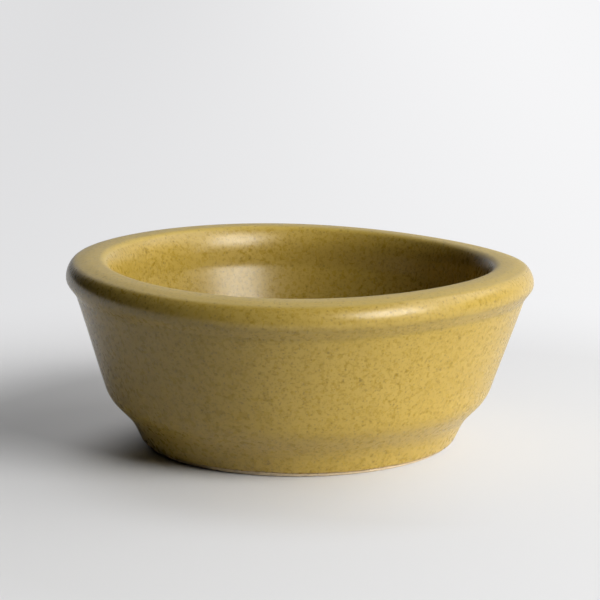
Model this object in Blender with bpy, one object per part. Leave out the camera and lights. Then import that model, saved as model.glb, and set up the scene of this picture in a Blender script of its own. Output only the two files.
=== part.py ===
"""Small stoneware ramekin: a thrown clay bowl and the coat of glaze fired onto it.

Metres, +Z up. The origin lies on the table, under the middle of the rim. Both pieces are turned from
one outline, the face of the glaze, and then take the slight slump that the rim got in the kiln.
"""

import math

import bmesh
import bpy
from mathutils import Matrix, Vector

# Rolled rim
RIM_RADIUS = 0.0550
RIM_WIDTH = 0.0087
RIM_OVERHANG = 0.0021
ROLL_RISE = 0.0039
ROLL_ROUND = 0.0031
LIP_RISE = 0.0041
LIP_ROUND = 0.0018
NECK_ROUND = 0.0006

# Outer wall, the step under it and the foot
WALL_RISE = 0.0238
WALL_FLARE = 0.0080
SHOULDER_ROUND = 0.0040
STEP_RISE = 0.0055
STEP_INSET = 0.0051
STEP_ROUND = 0.0030
FOOT_HEIGHT = 0.0060
FOOT_TAPER = 0.0028
FOOT_EDGE_ROUND = 0.0008
FOOT_RING_WIDTH = 0.0080
RECESS_DEPTH = 0.0015
RECESS_SLOPE = 0.0015

# Inside of the bowl
FLARE_DEPTH = 0.0051
FLARE_ROUND = 0.0030
THROAT_DEPTH = 0.0042
THROAT_LEAN = 0.0005
THROAT_ROUND = 0.0060
WALL_THICKNESS = 0.0090
FLOOR_THICKNESS = 0.0055
FLOOR_ROUND = 0.0160

# Glaze, which stops short of the table and leaves a line of bare clay
GLAZE_THICKNESS = 0.0005
GLAZE_LINE = 0.0007
SEAT_GAP = 0.0003

# Slump of the rim: a tilt, down towards +X, and a saddle with its high sides on one bearing
RIM_TILT = math.radians(0.9)
RIM_SADDLE = 0.0006
SADDLE_BEARING = math.radians(-35.0)

# Facets
TURN_STEPS = 48
ARC_STEP = math.radians(16.0)
LONGEST_SPAN = 0.0070
MERGE_DISTANCE = 0.000001
SHARP_ANGLE = math.radians(50.0)

# Finishes
CLAY_COLOUR = (0.60, 0.51, 0.38)
CLAY_ROUGHNESS = 0.85
GLAZE_COLOUR = (0.42, 0.31, 0.09)
GLAZE_ROUGHNESS = 0.35

# Heights and radii that follow, all on the face of the glaze
STEP_Z = FOOT_HEIGHT
SHOULDER_Z = STEP_Z + STEP_RISE
NECK_Z = SHOULDER_Z + WALL_RISE
ROLL_Z = NECK_Z + ROLL_RISE
LIP_Z = ROLL_Z + LIP_RISE
FLARE_Z = LIP_Z - FLARE_DEPTH
THROAT_Z = FLARE_Z - THROAT_DEPTH
FLOOR_Z = RECESS_DEPTH + FLOOR_THICKNESS

WALL_SLOPE = WALL_FLARE / WALL_RISE
FLANK_SLOPE = FOOT_TAPER / FOOT_HEIGHT
NECK_RADIUS = RIM_RADIUS - RIM_OVERHANG
SHOULDER_RADIUS = NECK_RADIUS - WALL_FLARE
STEP_RADIUS = SHOULDER_RADIUS - STEP_INSET
FOOT_RADIUS = STEP_RADIUS - FOOT_TAPER
LIP_RADIUS = RIM_RADIUS - RIM_WIDTH
THROAT_RADIUS = NECK_RADIUS - WALL_SLOPE * (NECK_Z - THROAT_Z) - WALL_THICKNESS
FLARE_RADIUS = THROAT_RADIUS + THROAT_LEAN
FLOOR_RADIUS = THROAT_RADIUS - WALL_SLOPE * (THROAT_Z - FLOOR_Z)


def rounded(corners):
    """Outline through (radius, height, rounding) corners, with an arc at each corner that has a rounding.

    Where two arcs need more than the straight stretch between them, both shrink to fit it.
    """
    points = [Vector((radius, height)) for radius, height, _ in corners]
    spans = [end - start for start, end in zip(points, points[1:])]
    turns = [0.0] + [other.angle_signed(one) for one, other in zip(spans, spans[1:])] + [0.0]
    reaches = [rounding * math.tan(abs(turn) / 2) for (_, _, rounding), turn in zip(corners, turns)]
    for index, span in enumerate(spans):
        needed = reaches[index] + reaches[index + 1]
        if needed > span.length:
            reaches[index] *= span.length / needed
            reaches[index + 1] *= span.length / needed
    outline = []
    for index, (point, turn, reach) in enumerate(zip(points, turns, reaches)):
        if reach == 0.0:
            outline.append(point)
            continue
        heading = spans[index - 1].normalized()
        spoke = Vector((heading.y, -heading.x)) * (reach / math.tan(turn / 2))
        centre = point - heading * reach - spoke
        steps = math.ceil(abs(turn) / ARC_STEP)
        for step in range(steps + 1):
            outline.append(centre + Matrix.Rotation(turn * step / steps, 2) @ spoke)
    return outline


def divided(outline):
    """The outline with extra points along each straight stretch longer than LONGEST_SPAN."""
    points = [outline[0]]
    for start, end in zip(outline, outline[1:]):
        parts = math.ceil((end - start).length / LONGEST_SPAN)
        points += [start.lerp(end, part / parts) for part in range(1, parts + 1)]
    return points


def inset(outline, depth):
    """The outline moved square to itself by a depth, to its left: into the wall of the bowl."""
    runs = [(end - start).normalized() for start, end in zip(outline, outline[1:])]
    sides = [Vector((-run.y, run.x)) for run in runs]
    points = []
    for point, one, other in zip(outline, sides[:1] + sides, sides + sides[-1:]):
        points.append(point + (one + other) * (depth / (1 + one.dot(other))))
    return points


def roll_corner():
    """Where the rim's underside and top would meet, if both ran on past the round roll they touch."""
    centre = Vector((RIM_RADIUS - ROLL_ROUND, ROLL_Z))
    neck = Vector((NECK_RADIUS, NECK_Z))
    lip = Vector((LIP_RADIUS, LIP_Z))
    to_neck = centre - neck
    to_lip = centre - lip
    neck_turn = math.asin(ROLL_ROUND / to_neck.length)
    lip_turn = math.asin(ROLL_ROUND / to_lip.length)
    underside = Matrix.Rotation(-neck_turn, 2) @ to_neck
    top = Matrix.Rotation(lip_turn, 2) @ to_lip
    reach = (lip - neck).cross(top) / underside.cross(top)
    return neck + underside * reach


def glaze_face():
    """Outer face of the glaze: up the outside from the glaze line, over the rim, down to the floor."""
    line_radius = FOOT_RADIUS + FLANK_SLOPE * GLAZE_LINE
    return divided(rounded([
        (line_radius, GLAZE_LINE, 0.0),
        (STEP_RADIUS, STEP_Z, STEP_ROUND),
        (SHOULDER_RADIUS, SHOULDER_Z, SHOULDER_ROUND),
        (NECK_RADIUS, NECK_Z, NECK_ROUND),
        (*roll_corner(), ROLL_ROUND),
        (LIP_RADIUS, LIP_Z, LIP_ROUND),
        (FLARE_RADIUS, FLARE_Z, FLARE_ROUND),
        (THROAT_RADIUS, THROAT_Z, THROAT_ROUND),
        (FLOOR_RADIUS, FLOOR_Z, FLOOR_ROUND),
        (0.0, FLOOR_Z, 0.0),
    ]))


def clay_outline(face):
    """The clay: its recessed base and foot ring, then the wall, rim and floor that the glaze covers."""
    depth = GLAZE_THICKNESS + SEAT_GAP
    covered = inset(face, depth)
    foot_edge = FOOT_RADIUS - depth * math.hypot(1.0, FLANK_SLOPE)
    ring_inside = foot_edge - FOOT_RING_WIDTH
    base = rounded([
        (0.0, RECESS_DEPTH, 0.0),
        (ring_inside - RECESS_SLOPE, RECESS_DEPTH, 0.0),
        (ring_inside, 0.0, 0.0),
        (foot_edge, 0.0, FOOT_EDGE_ROUND),
        (*covered[0], 0.0),
    ])
    return divided(base) + covered[1:]


def glaze_outline(face):
    """The glaze: its inner face from the floor out to the glaze line, then back along its outer face."""
    return inset(face, GLAZE_THICKNESS)[::-1] + face


def slumped(point):
    """A point of the fired bowl: above the shoulder the wall leans, up to the rim's tilt and saddle."""
    share = (point.z - SHOULDER_Z) / (NECK_Z - SHOULDER_Z)
    share = min(max(share, 0.0), 1.0)
    share = share * share * (3 - 2 * share)
    lean = math.tan(RIM_TILT) * (NECK_Z - SHOULDER_Z)
    across = (point.x ** 2 - point.y ** 2) * math.cos(2 * SADDLE_BEARING)
    across += 2 * point.x * point.y * math.sin(2 * SADDLE_BEARING)
    rise = RIM_SADDLE * across / RIM_RADIUS ** 2 - point.x * math.tan(RIM_TILT)
    return Vector((point.x + lean * (share - 1), point.y, point.z + rise * share))


def turned(name, outline, material, parent):
    """An object turned about Z from an outline that starts and ends on the axis, then slumped."""
    shape = bmesh.new()
    chain = [shape.verts.new((point.x, 0.0, point.y)) for point in outline]
    edges = [shape.edges.new(pair) for pair in zip(chain, chain[1:])]
    bmesh.ops.spin(
        shape, geom=chain + edges, cent=(0, 0, 0), axis=(0, 0, 1), angle=2 * math.pi, steps=TURN_STEPS
    )
    bmesh.ops.remove_doubles(shape, verts=shape.verts, dist=MERGE_DISTANCE)
    bmesh.ops.recalc_face_normals(shape, faces=shape.faces)
    for vertex in shape.verts:
        vertex.co = slumped(vertex.co)
    mesh = bpy.data.meshes.new(name)
    shape.to_mesh(mesh)
    shape.free()
    mesh.shade_smooth()
    mesh.set_sharp_from_angle(angle=SHARP_ANGLE)
    mesh.materials.append(material)
    piece = bpy.data.objects.new(name, mesh)
    piece.parent = parent
    bpy.context.scene.collection.objects.link(piece)


def finish(name, colour, roughness):
    material = bpy.data.materials.new(name)
    material.use_nodes = True
    shader = material.node_tree.nodes["Principled BSDF"]
    shader.inputs["Base Color"].default_value = (*colour, 1.0)
    shader.inputs["Roughness"].default_value = roughness
    shader.inputs["Metallic"].default_value = 0.0
    return material


def main():
    for old in list(bpy.data.objects):
        bpy.data.objects.remove(old, do_unlink=True)
    ramekin = bpy.data.objects.new("ramekin", None)
    bpy.context.scene.collection.objects.link(ramekin)
    face = glaze_face()
    bare_clay = finish("bare_stoneware", CLAY_COLOUR, CLAY_ROUGHNESS)
    mustard_glaze = finish("mustard_glaze", GLAZE_COLOUR, GLAZE_ROUGHNESS)
    turned("stoneware_body", clay_outline(face), bare_clay, ramekin)
    turned("glaze_coat", glaze_outline(face), mustard_glaze, ramekin)


main()
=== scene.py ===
import math

import bpy
import numpy as np
from mathutils import Matrix, Vector


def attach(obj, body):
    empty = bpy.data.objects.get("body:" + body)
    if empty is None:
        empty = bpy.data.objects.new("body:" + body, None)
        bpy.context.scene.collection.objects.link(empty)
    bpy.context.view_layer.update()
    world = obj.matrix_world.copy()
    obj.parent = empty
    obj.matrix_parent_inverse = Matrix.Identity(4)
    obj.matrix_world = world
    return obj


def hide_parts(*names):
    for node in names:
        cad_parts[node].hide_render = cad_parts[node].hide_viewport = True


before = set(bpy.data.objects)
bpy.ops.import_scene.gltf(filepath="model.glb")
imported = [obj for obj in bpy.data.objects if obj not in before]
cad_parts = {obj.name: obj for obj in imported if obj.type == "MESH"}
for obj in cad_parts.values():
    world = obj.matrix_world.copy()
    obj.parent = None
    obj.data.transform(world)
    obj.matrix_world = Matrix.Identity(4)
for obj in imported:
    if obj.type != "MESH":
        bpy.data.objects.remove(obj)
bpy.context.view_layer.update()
print("frame:", ", ".join(sorted(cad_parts)))

mm = 0.001   # the bowl is worked out in millimetres

# The thrown form: every size is on the face of the glaze
bowl = {
    "rimRadius": 55.0,
    "rimWidth": 8.93,
    "rimOverhang": 2.1,
    "neckRound": 0.6,
    "underRise": 2.75,       # from the neck up to the roll's widest line
    "underRound": 2.2,
    "rollRise": 2.6,
    "rollRound": 5.5,
    "edgeRise": 2.02,        # from there to the edge of the rim's top
    "edgeInset": 1.71,
    "edgeRound": 2.0,
    "crownRise": 0.6,        # the top is crowned, then level up to the lip
    "crownInset": 4.8,
    "crownRound": 12.0,
    "lipRise": 0.03,
    "lipRound": 2.2,
    "wallRise": 23.5,
    "wallFlare": 7.75,
    "shoulderRound": 10.0,
    "stepRise": 5.5,
    "stepInset": 5.35,
    "stepRound": 14.0,
    "footHeight": 6.0,
    "footTaper": 2.8,
    "flareDepth": 3.32,      # the slope inside the lip
    "flareWidth": 2.15,
    "flareRound": 10.5,
    "throatDepth": 6.1,
    "throatRound": 6.0,
    "wallThickness": 9.0,
    "floorThickness": 5.5,
    "floorRound": 16.0,
    "recessDepth": 1.5,
    "rimTilt": 0.97,         # degrees, down towards +X
    "rimSaddle": 0.6,
    "saddleBearing": -35.0,  # degrees round from +X
    "rimDip": 0.62,          # how far the back of the rim hangs and its front stands up
    "rimRipple": 0.36,       # three low waves round the rim
}

# Heights and radii that follow
shoulderZ = bowl["footHeight"] + bowl["stepRise"]
neckZ = shoulderZ + bowl["wallRise"]
underZ = neckZ + bowl["underRise"]
rollZ = underZ + bowl["rollRise"]
edgeZ = rollZ + bowl["edgeRise"]
crownZ = edgeZ + bowl["crownRise"]
lipZ = crownZ + bowl["lipRise"]
flareZ = lipZ - bowl["flareDepth"]
throatZ = flareZ - bowl["throatDepth"]
floorZ = bowl["recessDepth"] + bowl["floorThickness"]
wallSlope = bowl["wallFlare"] / bowl["wallRise"]
flankSlope = bowl["footTaper"] / bowl["footHeight"]
neckRadius = bowl["rimRadius"] - bowl["rimOverhang"]
shoulderRadius = neckRadius - bowl["wallFlare"]
stepRadius = shoulderRadius - bowl["stepInset"]
footRadius = stepRadius - bowl["footTaper"]
edgeRadius = bowl["rimRadius"] - bowl["edgeInset"]
crownRadius = bowl["rimRadius"] - bowl["crownInset"]
lipRadius = bowl["rimRadius"] - bowl["rimWidth"]
flareRadius = lipRadius - bowl["flareWidth"]
throatRadius = neckRadius - wallSlope * (neckZ - throatZ) - bowl["wallThickness"]
floorRadius = throatRadius - wallSlope * (throatZ - floorZ)


def smoothStep(low, high, value):
    # 0 below low, 1 above high, and three squares less two cubes of the share between them
    share = np.clip((value - low) / (high - low), 0.0, 1.0)
    return share * share * (3.0 - 2.0 * share)


def cross2(a, b):
    # x of the first times y of the second, less y of the first times x of the second
    return a[..., 0] * b[..., 1] - a[..., 1] * b[..., 0]


def roundCorners(corners, arcPoints=40):
    # Each corner becomes an arc that touches both of its sides. It starts the rounding times the tangent
    # of half the turn before the corner, and arcs that need more than a side has share that side.
    corners = np.array(corners, float)
    points, roundings = corners[:, :2], corners[1:-1, 2]
    sides = np.diff(points, axis=0)
    lengths = np.linalg.norm(sides, axis=1)
    headings = sides / lengths[:, None]
    before, after = headings[:-1], headings[1:]
    turns = np.arctan2(cross2(before, after), (before * after).sum(1))
    reach = np.concatenate([[0.0], roundings * np.tan(np.abs(turns) / 2), [0.0]])
    tiny = 1e-9   # for a side with no arc at either end
    share = np.minimum(1.0, lengths / np.maximum(reach[:-1] + reach[1:], tiny))
    reach = reach[1:-1] * np.minimum(share[:-1], share[1:])
    radius = reach / np.tan(turns / 2)
    outward = np.stack([before[:, 1], -before[:, 0]], axis=1)
    spoke = outward * radius[:, None]
    centre = points[1:-1] - before * reach[:, None] - spoke
    sweep = turns[:, None] * np.linspace(0.0, 1.0, arcPoints)
    arcX = centre[:, :1] + np.cos(sweep) * spoke[:, :1] - np.sin(sweep) * spoke[:, 1:]
    arcY = centre[:, 1:] + np.sin(sweep) * spoke[:, :1] + np.cos(sweep) * spoke[:, 1:]
    arcs = np.stack([arcX, arcY], axis=-1).reshape(-1, 2)
    return np.concatenate([points[:1], arcs, points[-1:]])


def runAlong(line):
    # Distance along a line of points
    return np.concatenate([[0.0], np.cumsum(np.linalg.norm(np.diff(line, axis=0), axis=1))])


def evenPoints(line, spacing):
    # The line cut into equal steps of about one spacing
    run = runAlong(line)
    at = np.linspace(0.0, run[-1], math.ceil(run[-1] / spacing) + 1)
    return np.stack([np.interp(at, run, line[:, 0]), np.interp(at, run, line[:, 1])], axis=1)


def soften(values, sigma):
    # Running mean under a bell curve four sigmas wide each way, sigma in points, with the ends carried on
    reach = int(4 * sigma)
    bell = np.exp(-0.5 * (np.arange(-reach, reach + 1) / sigma) ** 2)
    carried = np.concatenate([np.full(reach, values[0]), values, np.full(reach, values[-1])])
    return np.convolve(carried, bell / bell.sum(), mode="valid")


def insetLine(line, depth):
    # Each point moved to the left of its heading, which is into the wall
    heading = np.gradient(line, axis=0)
    heading /= np.linalg.norm(heading, axis=1)[:, None]
    left = np.stack([-heading[:, 1], heading[:, 0]], axis=1)
    return line + left * np.asarray(depth).reshape(-1, 1)


def slump(x, y, z):
    # A share grows from 0 at the shoulder to 1 at the neck as a smooth step. By that share each point
    # takes a tilt, a dip at the back, a saddle and a ripple: the dip goes with the sine of its bearing,
    # the saddle with the cosine of twice that and the ripple with the sine of three times that. The foot
    # is drawn back under the rim.
    share = smoothStep(shoulderZ, neckZ, z)
    tilt = math.tan(math.radians(bowl["rimTilt"]))
    out = np.hypot(x, y) / bowl["rimRadius"]
    bearing = np.arctan2(y, x)
    saddle = bowl["rimSaddle"] * out ** 2 * np.cos(2 * (bearing - math.radians(bowl["saddleBearing"])))
    wave = bowl["rimDip"] * out * np.sin(bearing) + bowl["rimRipple"] * out ** 3 * np.sin(3 * bearing)
    shift = tilt * (neckZ - shoulderZ) * (share - 1.0)
    return x + shift, y, z + (saddle - wave - x * tilt) * share


def turnOnWheel(name, radius, height, angle, poles):
    # Row by row, x is the radius times the cosine of the angle and y is the radius times its sine. Each
    # end of the profile closes in one pole point on the axis.
    x, y, z = slump(radius * np.cos(angle), radius * np.sin(angle), height)
    px, py, pz = slump(np.zeros(2), np.zeros(2), np.array(poles, float))
    grid = np.stack([x, y, z], axis=-1).reshape(-1, 3)
    points = np.concatenate([grid, np.stack([px, py, pz], axis=-1)]) * mm
    rows, around = radius.shape
    here = np.arange(rows * around).reshape(rows, around)
    beside = np.roll(here, -1, axis=1)
    quads = np.stack([here[:-1], beside[:-1], beside[1:], here[1:]], axis=-1).reshape(-1, 4)
    first = np.stack([np.full(around, rows * around), beside[0], here[0]], axis=-1)
    last = np.stack([here[-1], beside[-1], np.full(around, rows * around + 1)], axis=-1)
    mesh = bpy.data.meshes.new(name)
    mesh.from_pydata(points.tolist(), [], quads.tolist() + first.tolist() + last.tolist())
    mesh.shade_smooth()
    piece = bpy.data.objects.new(name, mesh)
    bpy.context.scene.collection.objects.link(piece)
    print(name, "points:", len(points), "faces:", len(mesh.polygons))
    return piece


def storeOnPoints(piece, name, rows, around, atPoles):
    # One value for each row of the grid, the same all the way round, kept as a point attribute
    values = np.concatenate([np.repeat(rows, around), [atPoles, atPoles]]).astype(np.float32)
    piece.data.attributes.new(name, "FLOAT", "POINT").data.foreach_set("value", values)


def addNode(tree, kind, sockets=None, **settings):
    # Each socket gets a link where its value is another node's output, and otherwise the value itself
    node = tree.nodes.new(kind)
    for key, value in settings.items():
        setattr(node, key, value)
    for key, value in (sockets or {}).items():
        if isinstance(value, bpy.types.NodeSocket):
            tree.links.new(value, node.inputs[key])
        else:
            node.inputs[key].default_value = value
    return node


def stored(tree, name):
    return addNode(tree, "ShaderNodeAttribute", attribute_name=name).outputs["Fac"]


def noiseAt(tree, where, scale, detail=2.0, roughness=0.5):
    made = addNode(tree, "ShaderNodeTexNoise",
                   {"Vector": where, "Scale": scale, "Detail": detail, "Roughness": roughness})
    return made.outputs[0]


def ranged(tree, value, low, high, toLow=0.0, toHigh=1.0):
    # A smooth step from one result at low to the other at high
    made = addNode(tree, "ShaderNodeMapRange",
                   {"Value": value, "From Min": low, "From Max": high, "To Min": toLow, "To Max": toHigh},
                   interpolation_type="SMOOTHSTEP")
    return made.outputs[0]


def calc(tree, operation, a, b):
    return addNode(tree, "ShaderNodeMath", {0: a, 1: b}, operation=operation).outputs[0]


def specksAt(tree, where, scale, size, strength, least=0.1, fade=(-0.25, 0.35)):
    # Round spots, one to a cell. Above the least, a cell's random number gives its spot's radius, up to
    # the size. The spot fades between two shares of that size, measured inwards from the radius.
    cells = addNode(tree, "ShaderNodeTexVoronoi", {"Vector": where, "Scale": scale})
    pick = addNode(tree, "ShaderNodeSeparateColor", {0: cells.outputs["Color"]}).outputs
    radius = ranged(tree, pick[0], least, 1.0, 0.0, size)
    inwards = calc(tree, "SUBTRACT", radius, cells.outputs["Distance"])
    return ranged(tree, inwards, fade[0] * size, fade[1] * size, 0.0, strength)


def blendColours(tree, share, a, b, how="MIX"):
    made = addNode(tree, "ShaderNodeMix", {0: share, 6: a, 7: b}, data_type="RGBA", blend_type=how)
    return made.outputs[2]


def roughen(tree, shader, height, strength, depth):
    bump = addNode(tree, "ShaderNodeBump", {"Strength": strength, "Distance": depth, "Height": height})
    tree.links.new(bump.outputs[0], shader.inputs["Normal"])


def newMaterial(name):
    material = bpy.data.materials.new(name)
    material.use_nodes = True
    tree = material.node_tree
    where = addNode(tree, "ShaderNodeTexCoord").outputs["Object"]
    return material, tree, tree.nodes["Principled BSDF"], where


# Mustard glaze: a satin glass coat with fine mottling and iron specks
glaze = {
    "thickness": 0.5,
    "line": 0.58,            # height of its lower edge above the table
    "lineWave": 0.10,
    "lineWaves": ((3, 0.6, 1.0), (7, 2.1, 0.6), (17, 0.0, 0.4)),   # number round the foot, phase, share
    "lineFade": 1.2,         # how soon the waves die away
    "edgeRound": 0.7,
    "edgeClose": 0.98,       # its quarter round stops just short of the back
    "around": 320,
    "rowSpacing": 0.58,
    "backStep": 3,           # the back keeps one row in three
    "bendBlur": 1.2,         # in rows
    "insideFade": 6.0,       # from the rim's highest row inwards
    "deepShadeFade": (12.0, 24.0),   # heights between which the inside darkens downwards, a painted shade
    "rimFade": 0.8,          # below the edge of the rim's top
    # colours
    "honey": (0.408, 0.281, 0.057, 1.0),
    "olive": (0.222, 0.137, 0.000, 1.0),
    "mustard": (0.345, 0.234, 0.034, 1.0),
    "pooled": (0.27, 0.188, 0.026, 1.0),     # in the hollows, and worn on the edges
    "worn": (0.285, 0.200, 0.050, 1.0),
    # painted shade: the whole inside of the bowl is darkened
    "insideShadeTint": (0.83, 0.82, 0.82, 1.0),
    "deepShadeTint": (0.62, 0.60, 0.50, 1.0),
    "thinAndLitTop": (0.43, 0.31, 0.055, 1.0),        # on the rim's top: partly a thinner coat, partly painted light and sheen from above
    "iron": (0.080, 0.048, 0.004, 1.0),
    "toast": (0.26, 0.11, 0.02, 1.0),        # along the lower edge
    # noises: scale, detail, roughness
    "mottleNoise": (1350.0, 3.0, 0.65),
    "patchNoise": (700.0, 2.0, 0.5),
    "cloudNoise": (55.0, 3.0, 0.5),
    "grainNoise": (1600.0, 1.0, 0.5),
    # from and to, then what comes of each
    "mottleRange": (0.29, 0.55, 0.0, 1.0),
    "patchRange": (0.56, 0.34, 0.0, 0.22),
    "cloudRange": (0.35, 0.65, 0.0, 0.3),
    "poolRange": (-0.03, -0.30, 0.0, 0.6),
    "wearRange": (0.08, 0.22, 0.0, 0.35),
    "thinAndLitTopRange": (0.0, 1.0, 0.0, 0.45),
    "toastRange": (0.9, 0.2, 0.0, 0.8),
    "satinRange": (0.3, 0.7, 0.26, 0.32),    # roughness, and what the thinner coat on the rim adds to it
    "rimSatinRange": (0.3, 1.0, 0.0, 0.16),
    "specks": ((1150.0, 0.30, 0.47), (480.0, 0.18, 0.35), (300.0, 0.10, 0.50)),   # scale, size, strength
    "bump": (0.2, 0.00004),                  # strength, and depth in metres
    "refraction": 1.52,
}


def glazeFace():
    # The face's corners, rounded, then cut evenly
    lineRadius = footRadius + flankSlope * glaze["line"]
    line = roundCorners([
        (lineRadius, glaze["line"], 0.0),
        (stepRadius, bowl["footHeight"], bowl["stepRound"]),
        (shoulderRadius, shoulderZ, bowl["shoulderRound"]),
        (neckRadius, neckZ, bowl["neckRound"]),
        (bowl["rimRadius"], underZ, bowl["underRound"]),
        (bowl["rimRadius"], rollZ, bowl["rollRound"]),
        (edgeRadius, edgeZ, bowl["edgeRound"]),
        (crownRadius, crownZ, bowl["crownRound"]),
        (lipRadius, lipZ, bowl["lipRound"]),
        (flareRadius, flareZ, bowl["flareRound"]),
        (throatRadius, throatZ, bowl["throatRound"]),
        (floorRadius, floorZ, bowl["floorRound"]),
        (0.0, floorZ, 0.0),
    ])
    return evenPoints(line, glaze["rowSpacing"])


def backThenFront(back, front):
    # The back's rows from the floor out to the lower edge, a few of them left out, then all the front's
    return np.concatenate([back[:-1][::-glaze["backStep"]], front[:-1]])


def makeGlaze(face):
    # The face runs from the glaze line over the rim to the floor, and its back is the face moved in by
    # the thickness. The lower edge closes in a quarter round, one less the root of one less the square of
    # the share of the edge, and a sum of sines that dies away up the wall makes it uneven.
    around = glaze["around"]
    run = runAlong(face)
    edge = np.clip(1.0 - run / glaze["edgeRound"], 0.0, 1.0)
    front = insetLine(face, glaze["thickness"] * (1.0 - np.sqrt(1.0 - glaze["edgeClose"] * edge ** 2)))
    back = insetLine(face, glaze["thickness"])
    profile = backThenFront(back, front)
    fromEdge = backThenFront(run, run)
    angle = np.linspace(0.0, 2 * math.pi, around, endpoint=False)[None, :]
    wave = sum(share * np.sin(number * angle + phase) for number, phase, share in glaze["lineWaves"])
    height = profile[:, 1:] + glaze["lineWave"] * wave * np.exp(-fromEdge[:, None] / glaze["lineFade"])
    radius = np.repeat(profile[:, :1], around, axis=1)
    piece = turnOnWheel("glaze_skin", radius, height, angle, (back[-1, 1], front[-1, 1]))

    # What the finish has to know of each row: how sharply it bends, and where it is on the bowl
    heading = np.unwrap(np.arctan2(*np.gradient(face, axis=0).T[::-1]))
    bend = soften(np.gradient(heading, run), glaze["bendBlur"])
    inside = smoothStep(0.0, glaze["insideFade"], run - run[np.argmax(face[:, 1])])
    # painted shade: the inside darkens towards the bottom
    deepShade = inside * (1.0 - smoothStep(*glaze["deepShadeFade"], face[:, 1]))
    rim = smoothStep(edgeZ - glaze["rimFade"], crownZ, profile[:, 1])
    storeOnPoints(piece, "edgeBend", backThenFront(bend, bend), around, bend[-1])
    storeOnPoints(piece, "fromEdge", fromEdge, around, run[-1])
    storeOnPoints(piece, "insideShare", backThenFront(inside, inside), around, 1.0)
    storeOnPoints(piece, "deepShadeShare", backThenFront(deepShade, deepShade), around, 1.0)
    storeOnPoints(piece, "rimShare", rim, around, 0.0)
    return piece


def glazeFinish():
    # Honey mottled over olive, then what each place on the bowl does to the coat, painted shade inside and
    # painted light on the rim's top, then the specks
    material, tree, shader, where = newMaterial("mustard_glaze")
    bend = stored(tree, "edgeBend")
    rim = stored(tree, "rimShare")
    mottle = noiseAt(tree, where, *glaze["mottleNoise"])
    patch = noiseAt(tree, where, *glaze["patchNoise"])
    cloud = noiseAt(tree, where, *glaze["cloudNoise"])
    body = blendColours(tree, ranged(tree, mottle, *glaze["mottleRange"]), glaze["olive"], glaze["honey"])
    body = blendColours(tree, ranged(tree, patch, *glaze["patchRange"]), body, glaze["olive"])
    body = blendColours(tree, ranged(tree, cloud, *glaze["cloudRange"]), body, glaze["mustard"])
    body = blendColours(tree, ranged(tree, bend, *glaze["poolRange"]), body, glaze["pooled"])
    body = blendColours(tree, ranged(tree, bend, *glaze["wearRange"]), body, glaze["worn"])
    # painted shade: the inside of the bowl is darkened
    body = blendColours(tree, stored(tree, "insideShare"), body, glaze["insideShadeTint"], "MULTIPLY")
    # painted shade: darker towards the bottom of the inside
    body = blendColours(tree, stored(tree, "deepShadeShare"), body, glaze["deepShadeTint"], "MULTIPLY")
    # lighter on the rim's top: partly a thinner coat, partly painted light and sheen
    body = blendColours(tree, ranged(tree, rim, *glaze["thinAndLitTopRange"]), body, glaze["thinAndLitTop"])
    for specks in glaze["specks"]:
        body = blendColours(tree, specksAt(tree, where, *specks), body, glaze["iron"])
    toasted = ranged(tree, stored(tree, "fromEdge"), *glaze["toastRange"])
    body = blendColours(tree, toasted, body, glaze["toast"])
    tree.links.new(body, shader.inputs["Base Color"])
    satin = ranged(tree, patch, *glaze["satinRange"])
    satin = calc(tree, "ADD", satin, ranged(tree, rim, *glaze["rimSatinRange"]))
    tree.links.new(satin, shader.inputs["Roughness"])
    roughen(tree, shader, noiseAt(tree, where, *glaze["grainNoise"]), *glaze["bump"])
    shader.inputs["IOR"].default_value = glaze["refraction"]
    return material


# Bare clay: the foot ring and the recessed base, wiped clean before firing
clay = {
    "ringWidth": 8.0,
    "ringRound": 0.6,
    "recessSlope": 1.5,
    "edgeRound": 0.8,
    "behindGlaze": 0.52,
    "around": 256,
    "rowSpacing": 0.4,
    "cream": (0.72, 0.58, 0.38, 1.0),
    "sand": (0.52, 0.42, 0.29, 1.0),
    "grog": (0.30, 0.20, 0.12, 1.0),
    "sandNoise": (700.0, 3.0, 0.6),
    "patchNoise": (90.0, 2.0, 0.5),
    "sandRange": (0.35, 0.65, 0.0, 1.0),
    "patchRange": (0.3, 0.7, 0.0, 0.5),
    "grogSpecks": (520.0, 0.16, 0.7, 0.5, (-0.125, 0.25)),   # scale, size, strength, least, fade
    "bump": (0.6, 0.00015),
    "roughness": 0.85,
}


def makeClay(face):
    # The base's corners are rounded and cut evenly, then the wall follows the glaze's back
    around = clay["around"]
    covered = insetLine(face, clay["behindGlaze"])
    edge = footRadius - clay["behindGlaze"] * math.hypot(1.0, flankSlope)
    ringInside = edge - clay["ringWidth"]
    base = roundCorners([
        (0.0, bowl["recessDepth"], 0.0),
        (ringInside - clay["recessSlope"], bowl["recessDepth"], clay["ringRound"]),
        (ringInside, 0.0, clay["ringRound"]),
        (edge, 0.0, clay["edgeRound"]),
        (*covered[0], 0.0),
    ])
    profile = np.concatenate([evenPoints(base, clay["rowSpacing"]), covered[1:]])
    rows = profile[1:-1]
    angle = np.linspace(0.0, 2 * math.pi, around, endpoint=False)[None, :]
    radius = np.repeat(rows[:, :1], around, axis=1)
    height = np.repeat(rows[:, 1:], around, axis=1)
    return turnOnWheel("clay_bowl", radius, height, angle, (profile[0, 1], profile[-1, 1]))


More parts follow.
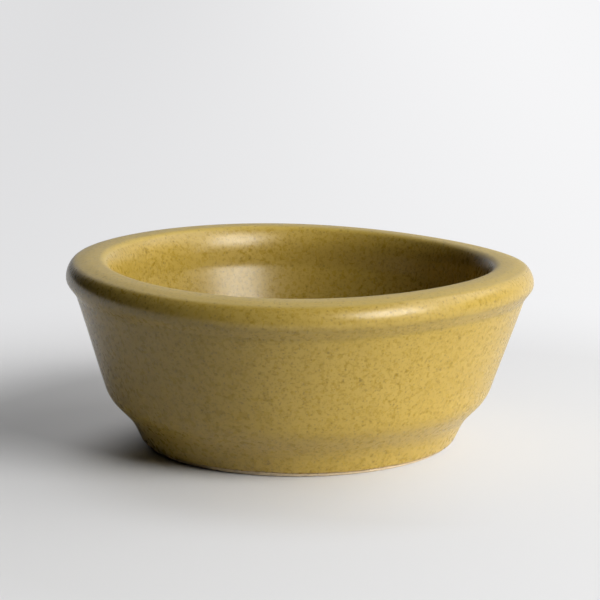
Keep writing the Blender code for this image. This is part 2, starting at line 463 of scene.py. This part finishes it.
def clayFinish():
    # Cream and sand, with dark grains of grog
    material, tree, shader, where = newMaterial("bare_stoneware")
    sand = noiseAt(tree, where, *clay["sandNoise"])
    patch = noiseAt(tree, where, *clay["patchNoise"])
    body = blendColours(tree, ranged(tree, sand, *clay["sandRange"]), clay["sand"], clay["cream"])
    body = blendColours(tree, ranged(tree, patch, *clay["patchRange"]), body, clay["cream"])
    body = blendColours(tree, specksAt(tree, where, *clay["grogSpecks"]), body, clay["grog"])
    tree.links.new(body, shader.inputs["Base Color"])
    roughen(tree, shader, sand, *clay["bump"])
    shader.inputs["Roughness"].default_value = clay["roughness"]
    return material


face = glazeFace()
glazeSkin = makeGlaze(face)
glazeSkin.data.materials.append(glazeFinish())
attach(glazeSkin, "root")
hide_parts("glaze_coat")
clayBowl = makeClay(face)
clayBowl.data.materials.append(clayFinish())
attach(clayBowl, "root")
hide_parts("stoneware_body")
print("bowl done")

# Studio: pale paper and a bright wall behind, in metres
studio = {
    "floorReach": 4.0,
    "floorDrop": 0.00002,
    "floorLines": 9,
    "paper": (0.66, 0.658, 0.653, 1.0),      # as it is seen
    "bounce": (0.67, 0.667, 0.660, 1.0),     # what it gives back to the bowl, close by and far off
    "farBounce": (0.06, 0.06, 0.06, 1.0),
    "bounceFade": (0.08, 0.17),
    "farLeft": (0.74, 0.74, 0.75, 1.0),      # how it looks far off, left and right: a painted glow, lighter on the right where the light falls
    "farRight": (0.92, 0.92, 0.93, 1.0),
    "farSpread": 0.15,
    "farFade": (0.05, 0.20),
    "nearShare": (0.12, 0.65),               # how much of that look lifts the shadow, left and right
    "nearFade": (0.036, 0.064),
    "rightFade": (-0.005, 0.045),
    "shadowCentre": (0.0, -0.026, 0.0),      # the fades are measured from here, but for the right's
    "paperRoughness": 0.9,
    "paperShine": 0.1,
    "brightWall": (160.0, 20.0),             # bearing and rise
    "wallFade": (0.45, 0.94),                # cosines from its rim to its bright middle
    "wallLight": 0.76,
}

# Panels: bearing round from the front towards the right, rise above the floor, lean, width, height,
# brightness, whether it lights the bowl and whether the glaze mirrors it
panels = {
    "softPanel": (55.0, 32.0, 22.0, 0.70, 0.90, 8.9, True, False),
    "softCore": (45.0, 31.0, 8.0, 0.60, 0.54, 9.4, False, True),   # what the glaze shows of the soft panel
    "lowPanel": (68.0, 6.0, 0.0, 0.42, 0.24, 34.0, True, False),
    "sidePanel": (100.0, 45.0, 0.0, 0.90, 0.90, 1.9, True, True),
}
panelDistance = 1.2


def bearingVector(bearing, rise):
    # A unit vector at a bearing from the front towards the right, and a rise above the floor
    b, r = math.radians(bearing), math.radians(rise)
    return Vector((math.sin(b) * math.cos(r), -math.cos(b) * math.cos(r), math.sin(r)))


def makeFloor():
    # A flat grid, the same reach every way
    across = np.linspace(-studio["floorReach"], studio["floorReach"], studio["floorLines"])
    x, y = np.meshgrid(across, across)
    points = np.stack([x.ravel(), y.ravel(), np.full(x.size, -studio["floorDrop"])], axis=-1)
    here = np.arange(x.size).reshape(x.shape)
    corners = [here[:-1, :-1], here[:-1, 1:], here[1:, 1:], here[1:, :-1]]
    quads = np.stack(corners, axis=-1).reshape(-1, 4)
    mesh = bpy.data.meshes.new("studio_floor")
    mesh.from_pydata(points.tolist(), [], quads.tolist())
    mesh.materials.append(paperFinish())
    floor = bpy.data.objects.new("studio_floor", mesh)
    bpy.context.scene.collection.objects.link(floor)


def paperFinish():
    # Near the bowl the paper is lit and shaded, and the camera sees its shadow lifted by a painted glow;
    # far off, what looks at it sees a painted pale glow, lighter to the right
    material, tree, shader, where = newMaterial("pale_paper")
    shader.inputs["Roughness"].default_value = studio["paperRoughness"]
    shader.inputs["Specular IOR Level"].default_value = studio["paperShine"]
    side = addNode(tree, "ShaderNodeSeparateXYZ", {0: where}).outputs[0]
    away = addNode(tree, "ShaderNodeVectorMath", {0: where, 1: studio["shadowCentre"]},
                   operation="DISTANCE").outputs["Value"]
    path = addNode(tree, "ShaderNodeLightPath").outputs
    looking = calc(tree, "MAXIMUM", path["Is Camera Ray"], path["Is Glossy Ray"])
    looking = calc(tree, "MAXIMUM", looking, path["Is Transmission Ray"])
    gone = ranged(tree, away, *studio["bounceFade"])
    bounce = blendColours(tree, gone, studio["bounce"], studio["farBounce"])
    tree.links.new(blendColours(tree, looking, bounce, studio["paper"]), shader.inputs["Base Color"])

    spread = studio["farSpread"]
    tone = blendColours(tree, ranged(tree, side, -spread, spread), studio["farLeft"], studio["farRight"])
    glow = addNode(tree, "ShaderNodeEmission", {"Color": tone}).outputs[0]
    far = calc(tree, "MULTIPLY", ranged(tree, away, *studio["farFade"]), looking)
    clear = ranged(tree, away, *studio["nearFade"])
    clear = calc(tree, "MAXIMUM", clear, ranged(tree, side, *studio["rightFade"]))
    close = calc(tree, "MULTIPLY", clear, ranged(tree, side, -spread, spread, *studio["nearShare"]))
    close = calc(tree, "MULTIPLY", close, path["Is Camera Ray"])
    share = calc(tree, "MAXIMUM", far, close)
    mixed = addNode(tree, "ShaderNodeMixShader", {0: share, 1: shader.outputs[0], 2: glow}).outputs[0]
    tree.links.new(mixed, tree.nodes["Material Output"].inputs["Surface"])
    return material


def makePanel(name, bearing, rise, lean, width, height, brightness, lights, mirrored):
    # A lamp that faces the bowl; its power is the brightness times pi times its area
    toward = bearingVector(bearing, rise)
    lamp = bpy.data.lights.new(name, "AREA")
    lamp.shape = "RECTANGLE"
    lamp.size = width
    lamp.size_y = height
    lamp.energy = brightness * math.pi * width * height
    panel = bpy.data.objects.new(name, lamp)
    panel.location = toward * panelDistance
    turned = Matrix.Rotation(math.radians(lean), 4, toward)
    panel.rotation_euler = (turned @ toward.to_track_quat("Z", "Y").to_matrix().to_4x4()).to_euler()
    panel.visible_camera = False
    panel.visible_diffuse = lights
    panel.visible_glossy = mirrored
    bpy.context.scene.collection.objects.link(panel)


def makeRoom():
    # The room's light grows with the cosine of the angle to the bright wall; the camera sees pale paper
    world = bpy.data.worlds.new("room")
    world.use_nodes = True
    tree = world.node_tree
    where = addNode(tree, "ShaderNodeTexCoord").outputs["Generated"]
    wall = bearingVector(*studio["brightWall"])
    facing = addNode(tree, "ShaderNodeVectorMath", {0: where, 1: wall},
                     operation="DOT_PRODUCT").outputs["Value"]
    strength = ranged(tree, facing, *studio["wallFade"], 0.0, studio["wallLight"])
    light = tree.nodes["Background"]
    light.inputs["Color"].default_value = (1.0, 1.0, 1.0, 1.0)
    tree.links.new(strength, light.inputs["Strength"])
    seen = addNode(tree, "ShaderNodeBackground", {"Color": studio["farRight"]}).outputs[0]
    camera = addNode(tree, "ShaderNodeLightPath").outputs["Is Camera Ray"]
    mixed = addNode(tree, "ShaderNodeMixShader", {0: camera, 1: light.outputs[0], 2: seen}).outputs[0]
    tree.links.new(mixed, tree.nodes["World Output"].inputs["Surface"])
    bpy.context.scene.world = world


makeFloor()
for name, facts in panels.items():
    makePanel(name, *facts)
makeRoom()
print("studio done")

# Camera: as far off and as high as the photograph's perspective gives, in metres and degrees
view = {
    "distance": 0.600,
    "rise": 11.764,
    "aim": (0.0, 0.0, 0.0331),
    "fieldOfView": 13.483,
    "nearest": 0.01,
}


def makeCamera():
    # The lens is half the sensor's width over the tangent of half the field of view
    rise = math.radians(view["rise"])
    outward = Vector((0.0, -math.cos(rise), math.sin(rise)))
    data = bpy.data.cameras.new("camera")
    data.lens = data.sensor_width / 2 / math.tan(math.radians(view["fieldOfView"]) / 2)
    data.clip_start = view["nearest"]
    camera = bpy.data.objects.new("camera", data)
    camera.location = Vector(view["aim"]) + view["distance"] * outward
    camera.rotation_euler = (math.pi / 2 - rise, 0.0, 0.0)
    bpy.context.scene.collection.objects.link(camera)
    bpy.context.scene.camera = camera


makeCamera()
bpy.context.scene.view_settings.view_transform = "Standard"
print("camera done")
